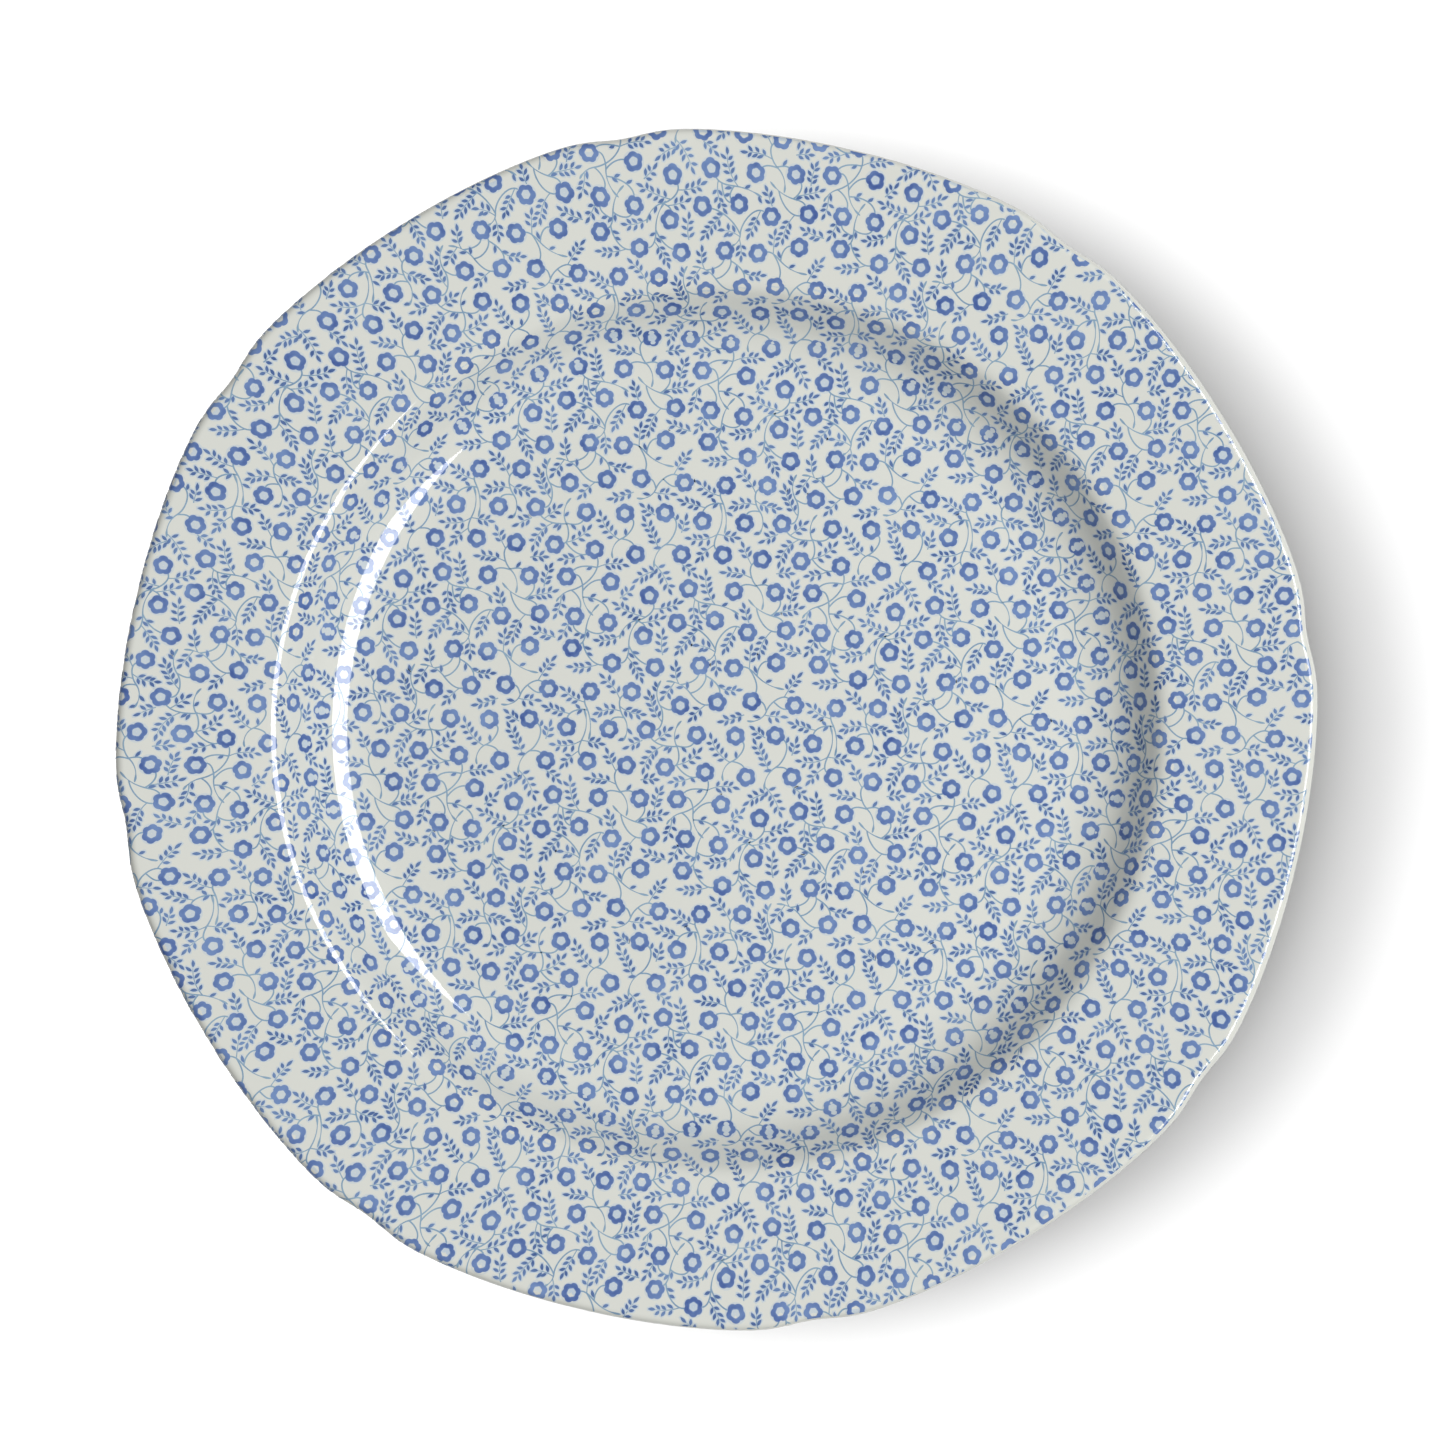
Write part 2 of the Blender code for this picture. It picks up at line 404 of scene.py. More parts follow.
def ink(points, reach, kind):
    """Notes that a kind of motif lies within reach of some points."""
    steps = np.arange(-reach, reach + FINENESS, FINENESS)
    spread = np.stack(np.meshgrid(steps, steps), -1).reshape(-1, 2)
    spread = spread[np.hypot(*spread.T) <= reach]
    drawn[cells(np.atleast_2d(points)[:, None] + spread)] |= kind


def inked(points, kinds):
    """How many of the points already have a motif of these kinds."""
    return np.count_nonzero(drawn[cells(points)] & kinds)


def shortest(way):
    """The shortest of the ways between two places of a drawing that repeats."""
    ways = []
    for over in (-1, 0, 1):
        across = np.round(way[..., 0] / REPEAT_WIDTH) + over
        aside = way[..., 0] - across * REPEAT_WIDTH
        along = way[..., 1] - across * REPEAT_DROP / 2
        ways.append(np.stack([aside, along - np.round(along / REPEAT_DROP) * REPEAT_DROP], -1))
    ways = np.stack(ways)
    best = np.argmin((ways**2).sum(-1), 0)
    return np.take_along_axis(ways, best[None, ..., None], 0)[0]


def toward(heading):
    """A step of one metre in a heading."""
    return np.stack([np.cos(heading), np.sin(heading)], -1)


def heading_to(way):
    """The heading of a way across the sheet."""
    return math.atan2(way[1], way[0])


def either_side():
    """One side or the other, by chance."""
    return draw.choice([-1, 1])


def stem_between(start, leaving, end, arriving):
    """A curved stem that leaves one place and arrives at another in given headings."""
    span = np.hypot(*(end - start))
    pull = span * STEM_PULL
    share = np.linspace(0, 1, max(4, round(span / STEM_STEP)) + 1)[:, None]
    left = 1 - share
    return (
        left**3 * start
        + 3 * left**2 * share * (start + pull * toward(leaving))
        + 3 * left * share**2 * (end - pull * toward(arriving))
        + share**3 * end
    )


# Flowers scattered at random, pushed apart until they are evenly spread, then shaken a little.
flowers = draw.random((FLOWERS_IN_REPEAT, 2)) * (REPEAT_WIDTH, REPEAT_DROP)
for _ in range(SPREADING_ROUNDS):
    ways = shortest(flowers[:, None] - flowers[None])
    gaps = np.hypot(ways[..., 0], ways[..., 1])
    np.fill_diagonal(gaps, np.inf)
    push = ways / gaps[..., None] * np.exp(-((gaps / FLOWER_PUSH) ** FLOWER_PUSH_FADES))[..., None]
    flowers = flowers + push.sum(1) * FLOWER_STEP
flowers = flowers + draw.normal(0, FLOWER_SHAKE, flowers.shape)
ink(flowers, FLOWER_TIP + FLOWER_ROOM, FLOWER_HERE)


def forked_stem(first, second):
    """Three arms that meet in a fork: one to each flower of a pair and one that ends in a bud.
    It comes with a number for how badly it would cross what is drawn, or None if it can't be."""
    if second is None:
        fork = first + toward(draw.uniform(0, math.tau)) * draw.uniform(*LONE_ARM)
    else:
        across = heading_to(second - first) + math.pi / 2 * either_side()
        fork = first + (second - first) * draw.uniform(*FORK_SHARE)
        fork = fork + toward(across) * draw.uniform(*FORK_ASIDE)
    reach = FLOWER_TIP - STEM_SINKS_IN
    bend = draw.uniform(*ARM_BEND) * either_side()
    to_first = heading_to(first - fork)
    leaving = to_first + bend
    arms = [stem_between(fork, leaving, first - toward(to_first - bend) * reach, to_first - bend)]
    bud_arm = draw.uniform(*BUD_ARM)
    back = leaving + math.pi
    curled = back - bend * draw.uniform(*BUD_CURL)
    bud = fork + (toward(back) + toward(curled)) * bud_arm / 2
    arms.append(stem_between(fork, back, bud, curled))
    if second is not None:
        to_second = heading_to(second - fork)
        swing = (to_second - leaving + math.pi) % math.tau - math.pi
        if not ARM_SWING[0] < abs(swing) < ARM_SWING[1]:
            return None
        arriving = to_second + ARM_ARRIVES * swing
        end = second - toward(arriving) * reach
        arms.append(stem_between(fork, leaving + ARM_LEAVES * swing, end, arriving))
    # Crossing a flower counts most, then a stem, then coming close to a flower. A first arm of the
    # best length and a long bud arm count in its favour, and chance settles the rest.
    route = np.concatenate([arm[:-3] for arm in arms])
    close = np.concatenate([route + CLOSE_TO_STEM, route - CLOSE_TO_STEM])
    fault = 3 * inked(route, FLOWER_HERE) + inked(route, STEM_HERE) + 0.3 * inked(close, FLOWER_HERE)
    fault += 100 * abs(np.hypot(*(first - fork)) - BEST_ARM) - 250 * bud_arm - 0.5 * draw.random()
    return fault, arms


# Stems, each a line of points with widths that go evenly along it. Flowers pair with a neighbour.
ARM_WIDTHS = (1.0, 1.0)
BUD_WIDTHS = (1.0, 0.85, 0.7, 0.6, 0.55, 1.5, 1.1)
SPRAY_WIDTHS = (0.75, 0.45)
stems = []
unpaired = list(draw.permutation(FLOWERS_IN_REPEAT))
while unpaired:
    first = flowers[unpaired.pop(0)]
    second = None
    if unpaired:
        ways = shortest(flowers[unpaired] - first)
        chosen = int(np.argmin(np.abs(np.hypot(*ways.T) - PAIRING_DISTANCE)))
        unpaired.pop(chosen)
        second = first + ways[chosen]
    tries = [forked_stem(first, second) for _ in range(FORKS_TRIED)]
    fault, arms = min((found for found in tries if found), key=lambda found: found[0])
    for arm, widths in zip(arms, (ARM_WIDTHS, BUD_WIDTHS, ARM_WIDTHS)):
        stems.append((arm, widths))
        ink(arm, STEM_ROOM, STEM_HERE)


def on_a_vine():
    """A place on one of the vines, and the vine's heading there."""
    arm = stems[draw.integers(vines)][0]
    at = draw.integers(1, len(arm) - 2)
    return arm[at], heading_to(arm[at + 1] - arm[at - 1])


# A second stalk ties some of the flowers to a vine nearby.
vines = len(stems)
tied = set()
for _ in range(TIES_TRIED):
    chosen = draw.integers(FLOWERS_IN_REPEAT)
    flower = flowers[chosen]
    root, along = on_a_vine()
    root = flower + shortest(root - flower)
    if chosen in tied or not TIE_REACH[0] < np.hypot(*(flower - root)) < TIE_REACH[1]:
        continue
    bend = draw.uniform(*TIE_BEND) * either_side()
    arriving = heading_to(flower - root) - bend
    end = flower - toward(arriving) * (FLOWER_TIP - STEM_SINKS_IN)
    tie = stem_between(root, arriving + 2 * bend, end, arriving)
    if inked(tie[2:-2], FLOWER_HERE) or inked(tie[2:], STEM_HERE):
        continue
    stems.append((tie, ARM_WIDTHS))
    ink(tie, STEM_ROOM, STEM_HERE)
    tied.add(chosen)
    if len(tied) == TIES:
        break
vines = len(stems)

# Leaves, each as (foot, heading, length).
leaves = []


def leaf_fits(foot, heading, length, kinds=ANYTHING):
    """True if a leaf would lie clear of what is drawn."""
    along = toward(heading) * length
    side = toward(heading + math.pi / 2) * LEAF_WIDTH * 0.45
    tests = [foot + share * along for share in LEAF_TESTS]
    tests += [foot + 0.5 * along + side, foot + 0.5 * along - side]
    return not inked(np.array(tests), kinds)


def add_leaf(foot, heading, length):
    """Draws one leaf."""
    leaves.append((foot, heading, length))
    shares = np.linspace(LEAF_TESTS[0], 1, 6)[:, None]
    ink(foot + shares * toward(heading) * length, LEAF_ROOM, LEAF_HERE)


def spray(root, heading, pairs, stalk):
    """Draws a spray if there is room: a stalk from the root, leaves in pairs and one at its tip."""
    gap = draw.uniform(*LEAF_GAPS)
    curl = draw.uniform(-SPRAY_CURL, SPRAY_CURL)
    along = np.arange(0, stalk + gap * (pairs - 1) + 0.75 * gap, SPRAY_STEP)
    headings = heading + curl * along
    spine = root + np.cumsum(toward(headings) * SPRAY_STEP, 0)
    if inked(spine[3:], ANYTHING):
        return False
    spread = draw.uniform(*SPRAY_SPREAD)
    found = [(spine[-1], headings[-1], LEAF_LENGTH * draw.uniform(*TIP_LEAF_LENGTHS))]
    for pair in range(pairs):
        for side in (-1, 1):
            place = stalk + gap * pair + side * draw.uniform(0.0, SPRAY_FOOT)
            at = min(int(place / SPRAY_STEP), len(along) - 1)
            out = headings[at] + side * spread * draw.uniform(*LEAF_SWAY)
            length = LEAF_LENGTH * draw.uniform(*LEAF_LENGTHS)
            found.append((spine[at] + toward(out) * SPRAY_FOOT, out, length))
    if not all(leaf_fits(*leaf) for leaf in found):
        return False
    for leaf in found:
        add_leaf(*leaf)
    ink(spine, STEM_ROOM * 0.8, STEM_HERE)
    stems.append((np.vstack([root, spine]), SPRAY_WIDTHS))
    return True


def sprays_on_vines(pairs, tries, most):
    """Grows up to so many sprays of a size from the vines."""
    made = 0
    for _ in range(tries):
        root, along = on_a_vine()
        out = along + either_side() * draw.uniform(*SPRAY_LEAN) + draw.choice([0, math.pi])
        made += spray(root, out, pairs, draw.uniform(*SPRAY_STALK))
        if made == most:
            return


def loose_sprays(pairs, tries, most):
    """Fills gaps with sprays whose stalk is too faint to join a vine."""
    made = 0
    for _ in range(tries):
        root = draw.random(2) * (REPEAT_WIDTH, REPEAT_DROP)
        made += spray(root, draw.uniform(0, math.tau), pairs, LOOSE_STALK)
        if made == most:
            return


def leaves_on_vines(tries, most):
    """Puts single leaves along the vines."""
    made = 0
    for _ in range(tries):
        root, along = on_a_vine()
        out = along + either_side() * draw.uniform(*LEAF_LEAN)
        length = LEAF_LENGTH * draw.uniform(*LONE_LEAF_LENGTHS)
        foot = root + toward(out) * LEAF_FOOT
        ahead = foot + toward(out) * length * 0.5
        if not leaf_fits(foot, out, length, FLOWER_HERE | LEAF_HERE) or inked(ahead[None], STEM_HERE):
            continue
        add_leaf(foot, out, length)
        made += 1
        if made == most:
            return


sprays_on_vines(pairs=4, tries=900, most=8)
sprays_on_vines(pairs=3, tries=2500, most=22)
sprays_on_vines(pairs=2, tries=3000, most=26)
loose_sprays(pairs=3, tries=2500, most=8)
loose_sprays(pairs=2, tries=3000, most=10)
leaves_on_vines(tries=2500, most=44)


# The sheet laid on the plate, a little towards -X, so that it turns further over the lip there.
# The washes of bled ink lie lowest. Each other kind of motif lies a little higher than the last,
# and so do neighbours of one kind, in turn, so that few share a surface where they cross.
SHEET_OVERLAP = 0.00185
SHEET_SHIFT = 0.00090
TRIM_SWAY = 0.00014
REPEATS_EACH_WAY = 5
FLOWER_POINTS = 42
FIVE_PETALS = 0.4
PETAL_ROUNDNESS = 0.7
PETAL_UNEVENNESS = 0.035
EYE_UNEVENNESS = 0.05
EYE_TO_TIP = (0.0, 0.3, 0.8, 1.0)
VINE_POINTS = 18
SPRAY_POINTS = 9
LEAF_SHARES = np.array([0.0, 0.1, 0.28, 0.5, 0.72, 0.9, 1.0])
BLEED_SHARES = np.array([0.0, 0.3, 0.7, 1.0])
BLEED_POINTS = 18
BLEED = 0.00024
BLEED_HOLE = FLOWER_EYE / 9

BLEED_THICKNESS = 0.000004
STALK_THICKNESS = 0.000013
VINE_THICKNESS = 0.000022
LEAF_THICKNESS = 0.000031
FLOWER_THICKNESS = 0.000040
LAYER_STEP = 0.0000011
LAYERS = 7
INK_SINKS = 0.00002
LIP_LIFT = 0.00005
LIP_LIFT_WIDTH = 0.002
NUDGE = 0.0001
PLAN_REACH = 0.137

leaf_curls = draw.uniform(-LEAF_CURL, LEAF_CURL, len(leaves))


def trim_run(angle):
    """The run from the middle at which the sheet was cut, round the plate."""
    sway = TRIM_SWAY * (np.sin(5 * angle + 1) + 0.6 * np.sin(13 * angle + 4))
    return rim_end + SHEET_OVERLAP - SHEET_SHIFT * np.cos(angle) + sway


def laid(motifs):
    """Every copy of some motifs that the sheet holds, turned the way that the sheet lies."""
    counts = np.arange(-REPEATS_EACH_WAY, REPEATS_EACH_WAY + 1)
    across, down = (grid.ravel() for grid in np.meshgrid(counts, counts))
    starts = np.stack([across * REPEAT_WIDTH, down * REPEAT_DROP + across * REPEAT_DROP / 2], -1)
    copies = motifs[None] + (starts - SHEET_START)[:, None, None]
    copies = copies.reshape(-1, *motifs.shape[1:])
    turn = np.array([toward(SHEET_TURN), toward(SHEET_TURN + math.pi / 2)])
    copies = copies @ turn
    return copies[np.hypot(*copies.mean(1).T) < rim_end + 2 * SHEET_OVERLAP]


def ribbons(lines, halves):
    """Motifs with a middle line each and a half width at each of its points."""
    along = np.gradient(lines, axis=1)
    along = along / np.linalg.norm(along, axis=-1, keepdims=True)
    side = np.stack([-along[..., 1], along[..., 0]], -1) * halves[..., None]
    return np.stack([lines - side, lines + side], 2).reshape(len(lines), -1, 2)


def ladder(points):
    """The triangles of a ribbon with so many points along it."""
    low = 2 * np.arange(points - 1)
    first = np.stack([low, low + 2, low + 3], -1)
    return np.vstack([first, np.stack([low, low + 3, low + 1], -1)])


def wreath(rounds, points):
    """The triangles between so many closed rounds of points, the innermost first."""
    here = np.arange(points)
    after = np.roll(here, -1)
    faces = []
    for low in np.arange(rounds - 1) * points:
        faces.append(np.stack([low + here, low + points + here, low + points + after], -1))
        faces.append(np.stack([low + here, low + points + after, low + after], -1))
    return np.vstack(faces)


def trimmed(points, faces):
    """Flat motifs cut along the sheet's edge."""
    past = np.hypot(*points.T) - trim_run(np.arctan2(points[:, 1], points[:, 0]))
    outside = (past[faces] > 0).sum(1)
    cuts = {}
    extra = []
    mended = [faces[outside == 0]]

    def cut(one, other):
        """The place where an edge from one point to another meets the trim."""
        key = (min(one, other), max(one, other))
        if key not in cuts:
            share = past[one] / (past[one] - past[other])
            cuts[key] = len(points) + len(extra)
            extra.append(points[one] + share * (points[other] - points[one]))
        return cuts[key]

    for face in faces[(outside == 1) | (outside == 2)]:
        shape = []
        for one, other in zip(face, np.roll(face, -1)):
            if past[one] <= 0:
                shape.append(one)
            if (past[one] <= 0) != (past[other] <= 0):
                shape.append(cut(one, other))
        mended.append([(shape[0], shape[at], shape[at + 1]) for at in range(1, len(shape) - 1)])
    return np.vstack([points, np.reshape(extra, (-1, 2))]), np.vstack(mended)


def looking(runs, angles):
    """The way the face looks out, at some runs and angles."""

    def place(runs, angles):
        """A place on the lobed face."""
        return lobed(np.interp(runs, run, radius), np.interp(runs, run, height), angles)

    outwards = place(runs + NUDGE, angles) - place(runs - NUDGE, angles)
    onwards = place(runs, angles + NUDGE) - place(runs, angles - NUDGE)
    ways = np.cross(outwards, onwards)
    return ways / np.linalg.norm(ways, axis=-1, keepdims=True)


def ink_film(name, motifs, fullness, faces, thickness):
    """A piece of dried ink on the face: each motif a thin closed film whose edges go down into the
    glaze. Fullness says how thickly the ink lies at each point of a motif."""
    count = motifs.shape[1]
    ink_depth = np.tile(fullness, len(motifs))
    lift = thickness + np.repeat(np.arange(len(motifs)) % LAYERS, count) * LAYER_STEP
    all_faces = (faces[None] + count * np.arange(len(motifs))[:, None, None]).reshape(-1, 3)
    points, all_faces = trimmed(motifs.reshape(-1, 2), all_faces)
    added = len(points) - len(lift)
    ink_depth = np.concatenate([ink_depth, np.ones(added)])
    lift = np.concatenate([lift, np.full(added, thickness)])
    used, all_faces = np.unique(all_faces, return_inverse=True)
    all_faces = all_faces.reshape(-1, 3)
    points = points[used]
    runs = np.hypot(*points.T)
    angles = np.arctan2(points[:, 1], points[:, 0])
    lift = lift[used] + LIP_LIFT * np.clip((runs - rim_end) / LIP_LIFT_WIDTH + 0.5, 0, 1)
    lean = np.interp(runs, run, slope)
    across = np.interp(runs, run, radius)
    tall = np.interp(runs, run, height)
    upper = lobed(across - lift * np.sin(lean), tall + lift * np.cos(lean), angles)
    lower = lobed(across + INK_SINKS * np.sin(lean), tall - INK_SINKS * np.cos(lean), angles)
    total = len(points)
    edges = np.vstack([all_faces[:, pair] for pair in ((0, 1), (1, 2), (2, 0))])
    alone = ~np.isin(edges[:, 0] * total + edges[:, 1], edges[:, 1] * total + edges[:, 0])
    here, after = edges[alone].T
    walls = np.stack([after, here, here + total, after + total], -1)
    shapes = all_faces.tolist() + (all_faces[:, ::-1] + total).tolist() + walls.tolist()
    mesh = bpy.data.meshes.new(name)
    mesh.from_pydata(np.vstack([upper, lower]).tolist(), [], shapes)
    mesh.shade_smooth()
    depths = mesh.attributes.new("fullness", "FLOAT", "POINT")
    depths.data.foreach_set("value", np.tile(ink_depth[used], 2).astype(np.float32))
    ways = looking(runs, angles)
    mesh.normals_split_custom_set_from_vertices(np.vstack([ways, -ways]).tolist())
    plan = np.vstack([upper, lower])[:, :2] / (2 * PLAN_REACH) + 0.5
    corners = np.zeros(len(mesh.loops), np.int32)
    mesh.loops.foreach_get("vertex_index", corners)
    mesh.uv_layers.new(name="OFBake").data.foreach_set("uv", plan[corners].astype(np.float32).ravel())
    return placed(name, mesh)


def all_flowers():
    """The flowers as wreaths of five or six petals round an open eye."""
    angle = np.arange(FLOWER_POINTS) * math.tau / FLOWER_POINTS
    shapes = []
    for place in flowers:
        petals = 5 if draw.random() < FIVE_PETALS else 6
        turn = draw.uniform(0, math.tau)
        swell = np.abs(np.cos(petals * (angle - turn) / 2)) ** PETAL_ROUNDNESS
        plump = 1 + PETAL_UNEVENNESS * np.cos(angle - draw.uniform(0, math.tau))
        tip = (FLOWER_NOTCH + (FLOWER_TIP - FLOWER_NOTCH) * swell) * plump
        eye = FLOWER_EYE * (1 + EYE_UNEVENNESS * np.cos(petals * (angle - turn)))
        rounds = [eye + share * (tip - eye) for share in EYE_TO_TIP]
        shapes.append(np.vstack([place + toward(angle) * reach[:, None] for reach in rounds]))
    return np.array(shapes)


def flower_bleeds():
    """The round wash of blue that has bled into the glaze under each flower."""
    angle = np.arange(BLEED_POINTS) * math.tau / BLEED_POINTS
    rounds = [toward(angle) * reach for reach in (BLEED_HOLE, FLOWER_TIP + BLEED)]
    return flowers[:, None] + np.vstack(rounds)


def leaf_ribbons(shares, half, over):
    """The leaves as ribbons with a slight curl, each running over both of its ends."""
    lines = []
    for (foot, heading, length), curl in zip(leaves, leaf_curls):
        along = shares * length + over * (2 * shares - 1)
        lines.append(foot + toward(heading + curl * (shares - 0.5)) * along[:, None])
    return ribbons(np.array(lines), np.tile(half, (len(lines), 1)))


def all_leaves():
    """The leaves as pointed ribbons."""
    half = LEAF_WIDTH / 2 * np.clip(np.sin(math.pi * LEAF_SHARES**0.95) ** 0.85, 0.1, 1)
    return leaf_ribbons(LEAF_SHARES, half, 0.0)


def leaf_bleeds():
    """The wash of blue under each leaf."""
    half = LEAF_WIDTH / 2 * np.sin(math.pi * np.clip(BLEED_SHARES, 0.15, 0.85)) + BLEED
    return leaf_ribbons(BLEED_SHARES, half, BLEED)


def all_stems(chosen, points):
    """Some of the stems as ribbons, each with the same number of points along it."""
    shares = np.linspace(0, 1, points)
    lines = []
    halves = []
    for line, widths in chosen:
        along = np.linspace(0, 1, len(line))
        lines.append(np.stack([np.interp(shares, along, line[:, axis]) for axis in (0, 1)], -1))
        half = np.interp(shares, np.linspace(0, 1, len(widths)), widths) * STEM_WIDTH / 2
        half[-1] *= 0.4
        halves.append(half)
    return ribbons(np.array(lines), np.array(halves))


GLOSS_CLOUD = 0.020
GLOSS_ROUGHNESS = (0.030, 0.045)
RIPPLE_SIZE = 0.007
RIPPLE_DEPTH = 0.00002
GLASS_IOR = 1.5
INK_GRAIN = 0.0012
INK_STARVED_PATCH = 0.0070
INK_STARVED_MOST = 0.85


def gloss(finish, shader):
    """The skin of melted glass over everything: glossy, with a faint ripple."""
    join(finish, between(finish, mottle(finish, GLOSS_CLOUD), *GLOSS_ROUGHNESS), shader, "Roughness")
    swell = mottle(finish, RIPPLE_SIZE, 1.0)
    ripple = node(finish, "ShaderNodeBump", Height=swell, Strength=0.4, Distance=RIPPLE_DEPTH)
    join(finish, ripple.outputs["Normal"], shader, "Normal")
    shader.inputs["IOR"].default_value = GLASS_IOR


def cobalt(name, deep, light, faint):
    """Cobalt ink under the glaze: mottled where it took unevenly, weak where the transfer was starved
    of ink, and paler at the edges, where it bled into the glaze."""
    finish, shader = new_finish(name)
    grain = between(finish, mottle(finish, INK_GRAIN, 3.0), 0.0, 1.0)
    blue = blended(finish, grain, deep, light)
    starved = between(finish, mottle(finish, INK_STARVED_PATCH, 2.0), 0.0, INK_STARVED_MOST)
    blue = blended(finish, starved, blue, faint)
    depth = node(finish, "ShaderNodeAttribute")
    depth.attribute_name = "fullness"
    join(finish, blended(finish, depth.outputs["Fac"], faint, blue), shader, "Base Color")
    gloss(finish, shader)
    return finish


flower_ink = cobalt(
    "flower_ink", (0.044, 0.090, 0.300, 1), (0.080, 0.145, 0.370, 1), (0.19, 0.295, 0.54, 1)
)
leaf_ink = cobalt(
    "leaf_ink", (0.048, 0.097, 0.268, 1), (0.086, 0.158, 0.358, 1), (0.19, 0.30, 0.52, 1)
)
stem_ink = cobalt(
    "stem_ink", (0.160, 0.275, 0.415, 1), (0.225, 0.345, 0.485, 1), (0.30, 0.43, 0.54, 1)
)
bleed_ink = cobalt(
    "bleed_ink", (0.465, 0.560, 0.670, 1), (0.525, 0.610, 0.690, 1), (0.61, 0.655, 0.66, 1)
)

# How full of ink each row of points is, from a flower's eye to its tips, or from foot to point.
FLOWER_FULLNESS = np.repeat((0.35, 1.0, 0.95, 0.55), FLOWER_POINTS)
LEAF_FULLNESS = np.repeat((0.5, 0.9, 1.0, 1.0, 1.0, 0.9, 0.5), 2)
VINE_FULLNESS = np.ones(2 * VINE_POINTS)
STALK_FULLNESS = np.ones(2 * SPRAY_POINTS)
FLOWER_BLEED_FULLNESS = np.repeat((1.0, 0.2), BLEED_POINTS)
LEAF_BLEED_FULLNESS = np.repeat((0.4, 1.0, 1.0, 0.4), 2)

vine_shapes = all_stems(stems[:vines], VINE_POINTS)
stalk_shapes = all_stems(stems[vines:], SPRAY_POINTS)
flower_faces = wreath(len(EYE_TO_TIP), FLOWER_POINTS)
flower_bleed_faces = wreath(2, BLEED_POINTS)
leaf_faces = ladder(len(LEAF_SHARES))
leaf_bleed_faces = ladder(len(BLEED_SHARES))
kinds = (
    ("flower_bleed", flower_bleeds(), FLOWER_BLEED_FULLNESS, flower_bleed_faces, BLEED_THICKNESS, bleed_ink),
    ("leaf_bleed", leaf_bleeds(), LEAF_BLEED_FULLNESS, leaf_bleed_faces, BLEED_THICKNESS, bleed_ink),
    ("stalks", stalk_shapes, STALK_FULLNESS, ladder(SPRAY_POINTS), STALK_THICKNESS, stem_ink),
    ("vines", vine_shapes, VINE_FULLNESS, ladder(VINE_POINTS), VINE_THICKNESS, stem_ink),
    ("leaves", all_leaves(), LEAF_FULLNESS, leaf_faces, LEAF_THICKNESS, leaf_ink),
    ("flowers", all_flowers(), FLOWER_FULLNESS, flower_faces, FLOWER_THICKNESS, flower_ink),
)
ZONES = ("well", "verge", "rim", "outer_rim")
RIM_ZONE_RADIUS = 0.100
OUTER_ZONE_RADIUS = 0.117
rim_zone_run, outer_zone_run = run[np.searchsorted(radius, (RIM_ZONE_RADIUS, OUTER_ZONE_RADIUS))]
film_pieces = []
for kind, motifs, fullness, faces, film_thickness, finish in kinds:
    shapes = laid(motifs)
    zone_of = np.digitize(np.hypot(*shapes.mean(1).T), (WELL_RADIUS, rim_zone_run, outer_zone_run))
    for at, zone in enumerate(ZONES):
        film = ink_film(f"{kind}_on_{zone}", shapes[zone_of == at], fullness, faces, film_thickness)
        film.data.materials.append(finish)
        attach(film, "root")
        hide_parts("printed_sheet")
        film_pieces.append(film)


# The outside coat of glaze. Glass melted over the face, the lip and the back in one coat, down to
# a line just above the foot ring's bottom, where it was wiped off so as not to stick to the kiln.
GLAZE = 0.00030
GLAZE_LINE = 0.0009
GLAZE_BEAD = 0.00012
GLAZE_RING_GAP = 0.004
GLAZE_RING_TURN = math.radians(2.5)
INSIDE_RING_GAP = 0.010
INSIDE_RING_TURN = math.radians(9)
GLAZE_COLUMNS = 480

GREY_CREAM = (0.676, 0.685, 0.632, 1)
CREAM = (0.701, 0.712, 0.662, 1)
DULL_CREAM = (0.638, 0.651, 0.608, 1)
GLAZE_CLOUD = 0.035
GLAZE_GRAIN = 0.0015


def white_glaze(name):
    """Glossy warm white: clear glass over white clay, very slightly clouded."""
    finish, shader = new_finish(name)
    cloud = blended(finish, mottle(finish, GLAZE_CLOUD), GREY_CREAM, CREAM)
    fine = between(finish, mottle(finish, GLAZE_GRAIN, 3.0), 0.0, 0.10)
    join(finish, blended(finish, fine, cloud, DULL_CREAM), shader, "Base Color")
    gloss(finish, shader)
    return finish


coat_face = face_at(rings(GLAZE_RING_GAP, GLAZE_RING_TURN))
coat_back = back_at(back_runs)
coat_inside = face_at(rings(INSIDE_RING_GAP, INSIDE_RING_TURN), GLAZE)[::-1]
coat_inside_back = back_at(back_runs[::2], GLAZE)[::-1]
coat_foot = eased(
    [
        (*coat_back[-1], 0),
        (FOOT_OUTER_RADIUS, FOOT_HEIGHT, FOOT_FILLET),
        (FOOT_OUTER_RADIUS, GLAZE_LINE, GLAZE_BEAD),
        (FOOT_OUTER_RADIUS - GLAZE, GLAZE_LINE, GLAZE_BEAD),
        (FOOT_OUTER_RADIUS - GLAZE, FOOT_HEIGHT + GLAZE, FOOT_FILLET),
        (*coat_inside_back[0], 0),
    ]
)
coat_loop = np.vstack([coat_face, coat_back, coat_foot[1:-1], coat_inside_back, coat_inside])
coat = turned("glaze_coat", coat_loop, GLAZE_COLUMNS)
coat.data.materials.append(white_glaze("white_glaze"))
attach(coat, "root")
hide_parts("outside_glaze")


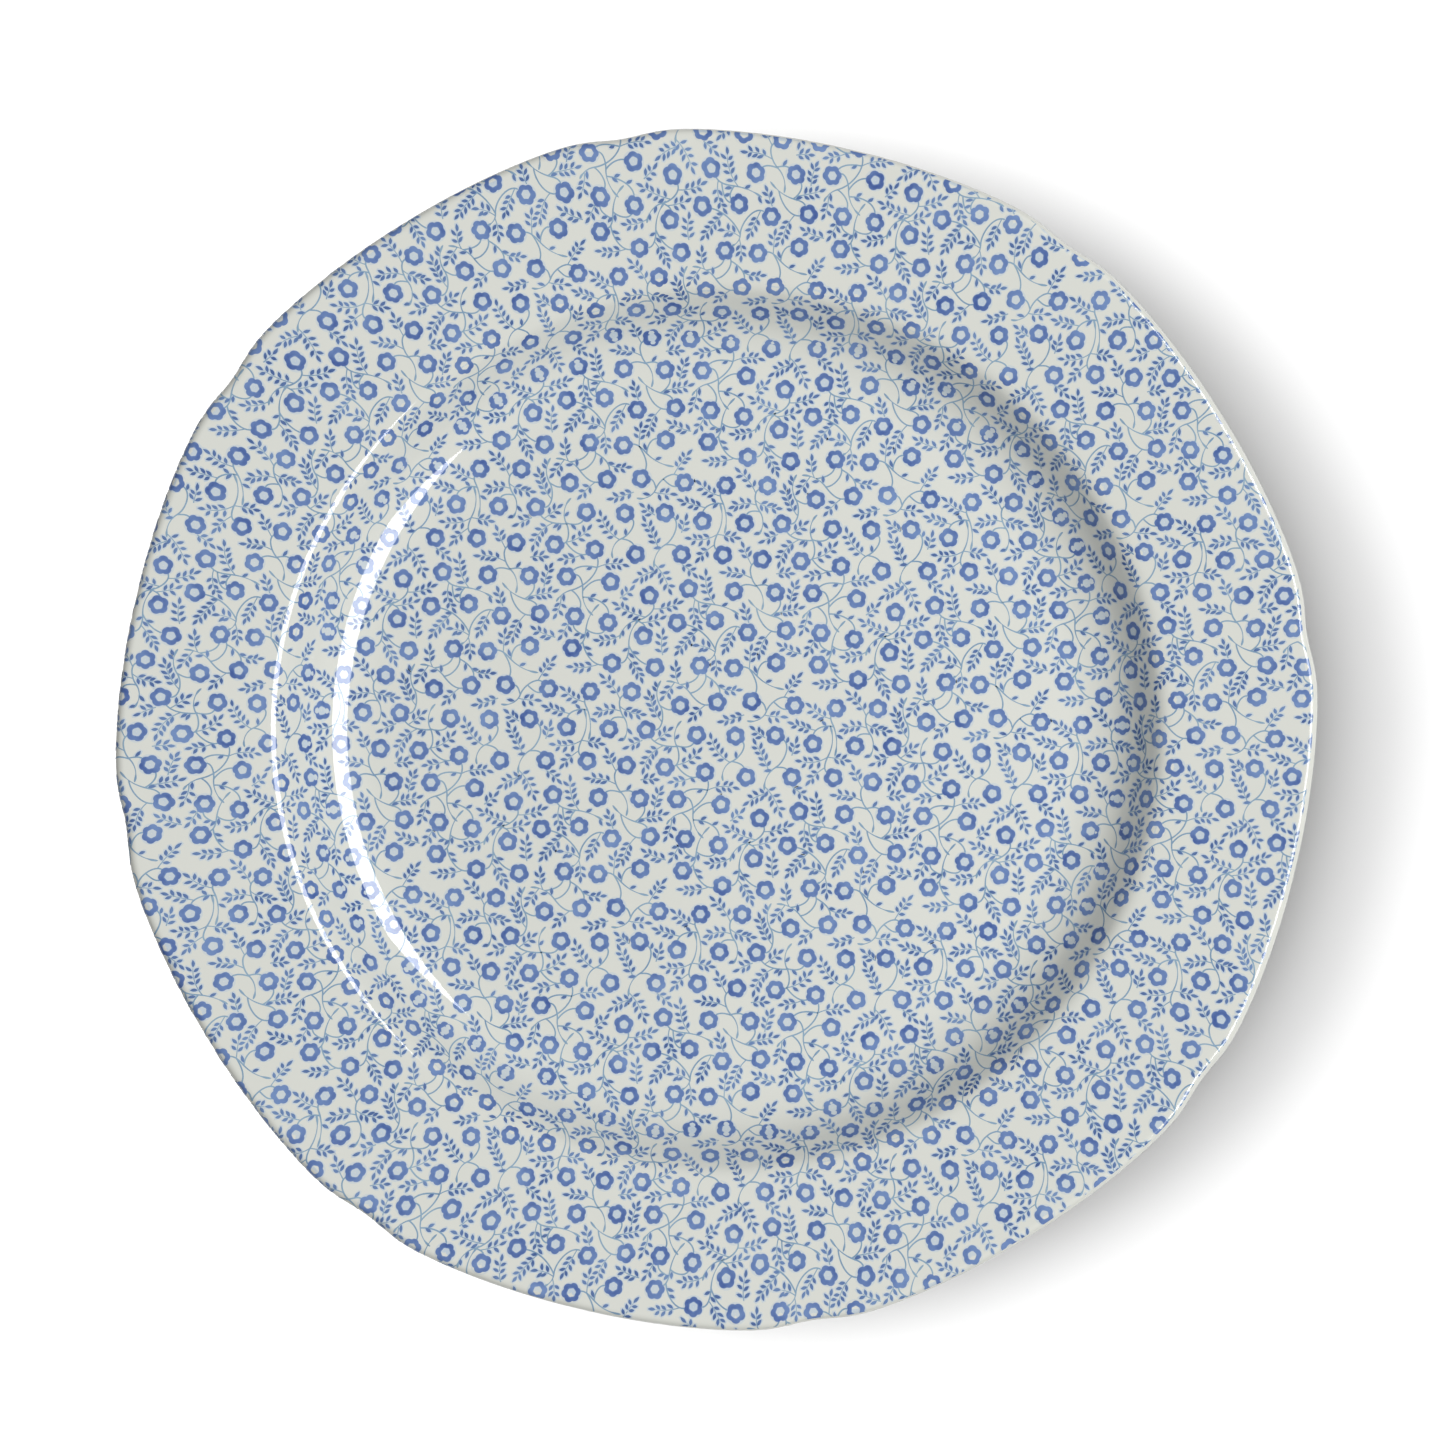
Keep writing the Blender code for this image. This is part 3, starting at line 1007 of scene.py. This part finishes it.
# The underside coat. The round of the same glaze inside the foot ring, apart from the outside coat
# because the ring between them is wiped bare.
under_loop = eased(
    [
        (0.0, FOOT_HEIGHT + GLAZE, 0),
        (FOOT_INNER_RADIUS - FOOT_TAPER, FOOT_HEIGHT + GLAZE, FOOT_FILLET),
        (FOOT_INNER_RADIUS, GLAZE_LINE, GLAZE_BEAD),
        (FOOT_INNER_RADIUS - GLAZE, GLAZE_LINE, GLAZE_BEAD),
        (FOOT_INNER_RADIUS - FOOT_TAPER - GLAZE, FOOT_HEIGHT, FOOT_FILLET),
        (0.0, FOOT_HEIGHT, 0),
    ]
)
under_coat = turned("underside_coat", under_loop, BODY_COLUMNS)
under_coat.data.materials.append(white_glaze("underside_glaze"))
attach(under_coat, "root")
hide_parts("underside_glaze")


# The table: a wide pale board under the plate, which isn't part of it. It is lit far more brightly
# than the plate is, so it is kept from throwing light back up at the plate.
TABLE_HALF = 5.0
TABLE_TONES = ((0.90, 0.90, 0.90, 1), (0.93, 0.93, 0.93, 1))
TABLE_CLOUD = 0.12
table_corners = [(x * TABLE_HALF, y * TABLE_HALF, 0) for x, y in ((-1, -1), (1, -1), (1, 1), (-1, 1))]
table_mesh = bpy.data.meshes.new("table")
table_mesh.from_pydata(table_corners, [], [(0, 1, 2, 3)])
table = placed("table", table_mesh)
board, board_shader = new_finish("pale_board")
tone = blended(board, mottle(board, TABLE_CLOUD), *TABLE_TONES)
join(board, tone, board_shader, "Base Color")
board_shader.inputs["Roughness"].default_value = 0.9
board_shader.inputs["Specular IOR Level"].default_value = 0.1
table.data.materials.append(board)
table.visible_diffuse = False


# The light: one long soft box above and to the right that lights the plate alone, two broad soft
# lamps from the left that light the table alone and throw the plate's shadow on it, and a room that
# is brighter overhead than at its sides. A lamp has a name, a strength, a tilt and a spread in degrees.
SOFT_BOX = (0.684, 0.0, 1.233)
SOFT_BOX_SIZE = (0.45, 1.10)
SOFT_BOX_WATTS = 18.4
TABLE_LAMPS = (("high_lamp", 3.3, 36, 98), ("low_lamp", 2.4, 62, 48))
TABLE_LAMPS_TURN = math.radians(-4)
ROOM_AT_SIDES = 0.06
ROOM_OVERHEAD = 0.38


def only_on(lamp, *objects):
    """A lamp that lights these objects alone."""
    lit = bpy.data.collections.new(lamp.name + "_lights")
    for thing in objects:
        lit.objects.link(thing)
    lamp.light_linking.receiver_collection = lit


def lamp_of(kind, name):
    """A new lamp of a kind."""
    lamp = bpy.data.objects.new(name, bpy.data.lights.new(name, kind))
    bpy.context.scene.collection.objects.link(lamp)
    return lamp


soft_box = lamp_of("AREA", "soft_box")
soft_box.data.shape = "RECTANGLE"
soft_box.data.size, soft_box.data.size_y = SOFT_BOX_SIZE
soft_box.data.energy = SOFT_BOX_WATTS
soft_box.location = SOFT_BOX
soft_box.rotation_euler = (0, math.atan2(SOFT_BOX[0], SOFT_BOX[2]), 0)
only_on(soft_box, body, coat, under_coat, *film_pieces)

for lamp_name, strength, tilt, spread in TABLE_LAMPS:
    table_lamp = lamp_of("SUN", lamp_name)
    table_lamp.data.angle = math.radians(spread)
    table_lamp.data.energy = strength
    table_lamp.rotation_euler = (0, -math.radians(tilt), TABLE_LAMPS_TURN)
    only_on(table_lamp, table)

room = bpy.data.worlds.new("room")
room.use_nodes = True
sky = node(room, "ShaderNodeTexCoord").outputs["Generated"]
upward = node(room, "ShaderNodeSeparateXYZ", Vector=sky).outputs["Z"]
steep = node(room, "ShaderNodeMath")
steep.operation = "ABSOLUTE"
room.node_tree.links.new(upward, steep.inputs[0])
rise = steep.outputs["Value"]
glow = node(room, "ShaderNodeMapRange", Value=rise, To_Min=ROOM_AT_SIDES, To_Max=ROOM_OVERHEAD)
walls = room.node_tree.nodes["Background"]
join(room, glow.outputs["Result"], walls, "Strength")
walls.inputs["Color"].default_value = (1.0, 1.0, 1.0, 1)
bpy.context.scene.world = room
bpy.context.scene.view_settings.view_transform = "Standard"


# The camera: straight above the plate, far enough off for the rim to show almost flat.
CAMERA_LENS = 100.0
CAMERA_SENSOR = 36.0
PLATE_SHARE_OF_VIEW = 0.8325
CAMERA_ASIDE = (0.00130, 0.00158)
view_width = (cad_box[1].x - cad_box[0].x) / PLATE_SHARE_OF_VIEW
camera = bpy.data.objects.new("camera", bpy.data.cameras.new("camera"))
bpy.context.scene.collection.objects.link(camera)
camera.data.lens = CAMERA_LENS
camera.data.sensor_width = CAMERA_SENSOR
camera.location = (*CAMERA_ASIDE, cad_box[1].z + view_width * CAMERA_LENS / CAMERA_SENSOR)
bpy.context.scene.camera = camera
